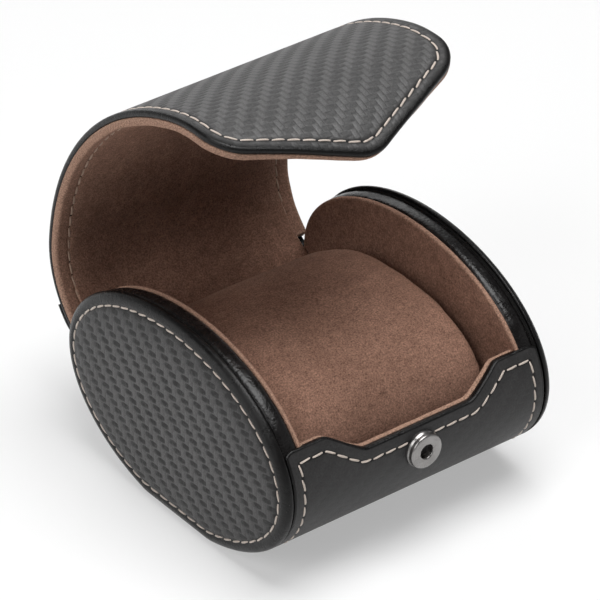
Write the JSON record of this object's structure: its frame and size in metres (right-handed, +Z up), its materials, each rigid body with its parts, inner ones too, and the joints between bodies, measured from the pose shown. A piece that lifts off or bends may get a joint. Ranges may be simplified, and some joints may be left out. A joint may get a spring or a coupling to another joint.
{
  "type": "single watch travel case",
  "caption": "Oval leather-covered travel case for one watch: suede-lined barrel with end discs, hinged lid whose pointed tongue closes on a snap, and a loose cushion that lifts out.",
  "frame": {"origin": "middle of the flat that the barrel stands on", "axes": "+X along the barrel, -Y to the front with the snap, +Z up"},
  "size_m": [0.0796, 0.1011, 0.1067],
  "materials": {
    "weave_leather": "black coated leather embossed with a twill weave, satin",
    "smooth_leather": "smooth black coated leather, glossy",
    "suede": "brown suede with a short nap",
    "board": "grey-brown fibre board",
    "foam": "soft foam",
    "snap_metal": "polished gunmetal plating"
  },
  "bodies": {
    "case": {"barrel_cover": "weave_leather", "barrel_board": "board", "barrel_lining": "suede", "left_end_cover": "weave_leather", "left_end_foam": "foam", "left_end_board": "board", "left_rim_core": "board", "left_rim_band": "smooth_leather", "left_end_lining": "suede", "right_end_cover": "weave_leather", "right_end_foam": "foam", "right_end_board": "board", "right_rim_core": "board", "right_rim_band": "smooth_leather", "right_end_lining": "suede", "snap_socket": "snap_metal", "snap_washer": "snap_metal", "hinge_strip": "smooth_leather"},
    "lid": {"lid_cover": "weave_leather", "lid_board": "board", "lid_lining": "suede", "lid_fold": "smooth_leather"},
    "tongue": {"tongue_cover": "weave_leather", "tongue_board": "board", "tongue_lining": "suede", "snap_stud": "snap_metal", "stud_washer": "snap_metal"},
    "cushion": {"cushion_cover": "suede", "cushion_foam": "foam", "left_cushion_end": "suede", "right_cushion_end": "suede"}
  },
  "joints": [
    {"name": "lid_hinge", "type": "hinge", "parent": "case", "child": "lid", "pos_m": [0, 0.0443, 0.0254], "axis": [-1, 0, 0], "range_deg": [-50, 30]},
    {"name": "tongue_fold", "type": "hinge", "parent": "lid", "child": "tongue", "pos_m": [0, 0.00481, 0.10393], "axis": [-1, 0, 0], "range_deg": [-17.4, 20]},
    {"name": "cushion_lift", "type": "slide", "parent": "case", "child": "cushion", "axis": [0, 0, 1], "range_m": [0, 0.011]}
  ]
}
